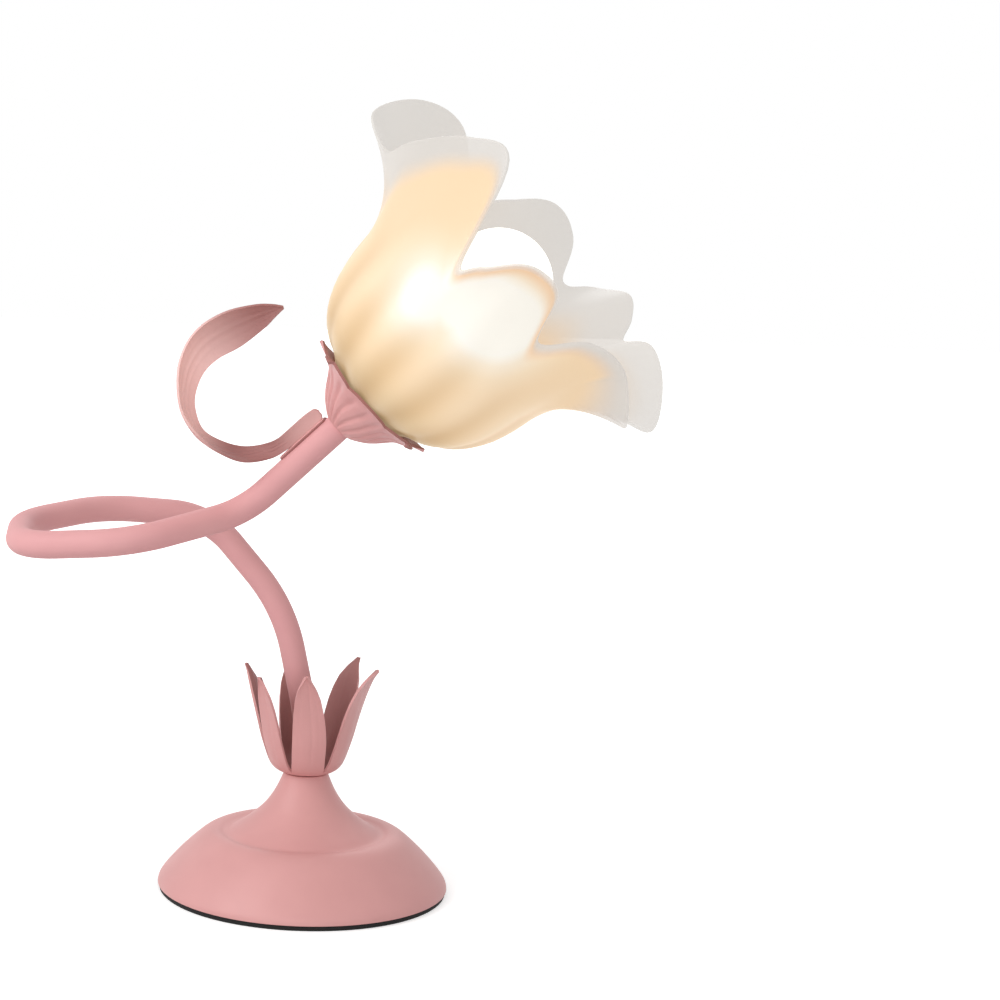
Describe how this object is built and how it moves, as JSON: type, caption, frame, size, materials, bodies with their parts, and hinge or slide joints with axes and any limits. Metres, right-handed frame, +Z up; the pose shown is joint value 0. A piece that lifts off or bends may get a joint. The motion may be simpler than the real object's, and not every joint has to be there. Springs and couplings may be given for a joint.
{
  "type": "flower desk lamp",
  "caption": "Desk lamp shaped like a flower: round domed base with a crown of leaves, bendable looped stem, curled leaf, frosted ruffled glass shade with a bulb inside.",
  "frame": {"origin": "centre of the base's underside, on the table", "axes": "+Z up from the table along the base's own axis, +X to the right and -Y towards a viewer standing in front of the lamp"},
  "size_m": [0.2806, 0.276, 0.3708],
  "materials": {
    "pink_painted_steel": "matt powder coat, dusty pink",
    "pink_silicone": "matt silicone, dusty pink",
    "black_foam": "matt black",
    "zinc_steel": "satin zinc plate",
    "spiral_steel": "bright wound strip",
    "cast_iron": "rough cast",
    "brass": "turned",
    "black_plastic": "matt",
    "white_plastic": "satin",
    "ceramic": "unglazed",
    "lead_insulation": "smooth",
    "frosted_glass": "frosted, milky",
    "opal_plastic": "opal, lit from inside",
    "aluminium": "plain",
    "nickel_cap": "nickel plate",
    "black_glass": "gloss insulator"
  },
  "bodies": {
    "base": {"foot_pad": "black_foam", "base_plate": "zinc_steel", "plate_screws": "zinc_steel", "base_weight": "cast_iron", "base_cover": "pink_painted_steel", "stem_nut": "brass", "stem_washer": "zinc_steel", "base_nipple": "brass", "inlet_bush": "black_plastic", "terminal_block": "white_plastic", "leaf_crown": "pink_painted_steel", "stem_sleeve": "pink_silicone", "stem_hose": "spiral_steel", "stem_leads": "lead_insulation"},
    "arm_1": {"arm_1_sleeve": "pink_silicone", "arm_1_hose": "spiral_steel", "arm_1_leads": "lead_insulation"},
    "arm_2": {"arm_2_sleeve": "pink_silicone", "arm_2_hose": "spiral_steel", "arm_2_leads": "lead_insulation"},
    "arm_3": {"arm_3_sleeve": "pink_silicone", "arm_3_hose": "spiral_steel", "arm_3_leads": "lead_insulation"},
    "arm_4": {"arm_4_sleeve": "pink_silicone", "arm_4_hose": "spiral_steel", "arm_4_leads": "lead_insulation"},
    "arm_5": {"arm_5_sleeve": "pink_silicone", "arm_5_hose": "spiral_steel", "arm_5_leads": "lead_insulation"},
    "arm_6": {"arm_6_sleeve": "pink_silicone", "arm_6_hose": "spiral_steel", "arm_6_leads": "lead_insulation"},
    "head": {"head_sleeve": "pink_silicone", "head_hose": "spiral_steel", "head_leads": "lead_insulation", "head_nipple": "brass", "flower_cup": "pink_painted_steel", "cup_nut": "brass", "holder_body": "white_plastic", "holder_core": "ceramic", "screw_shell": "brass", "centre_contact": "brass", "shade_ring": "white_plastic", "shade": "frosted_glass"},
    "leaf": {"leaf_clip": "pink_painted_steel", "leaf_blade": "pink_painted_steel"},
    "bulb": {"bulb_globe": "opal_plastic", "bulb_housing": "white_plastic", "led_board": "aluminium", "bulb_cap": "nickel_cap", "bulb_insulator": "black_glass", "bulb_tip": "nickel_cap"}
  },
  "joints": [
    {"name": "arm_bend_1", "type": "hinge", "parent": "base", "child": "arm_1", "pos_m": [-0.0065, -0.0005, 0.1085], "axis": [-0.0038, 0.9999, 0.0167], "range_deg": [-15, 25]},
    {"name": "arm_bend_2", "type": "hinge", "parent": "arm_1", "child": "arm_2", "pos_m": [-0.0315, -0.0025, 0.1585], "axis": [0.758, 0, 0.6522], "range_deg": [-25, 40]},
    {"name": "arm_bend_3", "type": "hinge", "parent": "arm_2", "child": "arm_3", "pos_m": [-0.074, -0.0105, 0.182], "axis": [-0.2614, 0.9652, 0], "range_deg": [-25, 40]},
    {"name": "arm_bend_4", "type": "hinge", "parent": "arm_3", "child": "arm_4", "pos_m": [-0.1145, -0.034, 0.182], "axis": [-0.0586, -0.0604, 0.9965], "range_deg": [-25, 40]},
    {"name": "arm_bend_5", "type": "hinge", "parent": "arm_4", "child": "arm_5", "pos_m": [-0.1285, -0.0775, 0.1785], "axis": [-0.9956, -0.0939, 0], "range_deg": [-25, 40]},
    {"name": "arm_bend_6", "type": "hinge", "parent": "arm_5", "child": "arm_6", "pos_m": [-0.1015, -0.111, 0.1795], "axis": [0.0939, -0.0268, -0.9952], "range_deg": [-25, 40]},
    {"name": "arm_bend_7", "type": "hinge", "parent": "arm_6", "child": "head", "pos_m": [-0.05375, -0.1035, 0.1875], "axis": [0.5292, -0.8485, 0], "range_deg": [-30, 40]},
    {"name": "leaf_slide", "type": "slide", "parent": "head", "child": "leaf", "axis": [-0.6891, 0.224, -0.6891], "range_m": [0, 0.011]},
    {"name": "bulb_pull", "type": "slide", "parent": "head", "child": "bulb", "axis": [0.6891, -0.224, 0.6891], "range_m": [0, 0.03]}
  ]
}
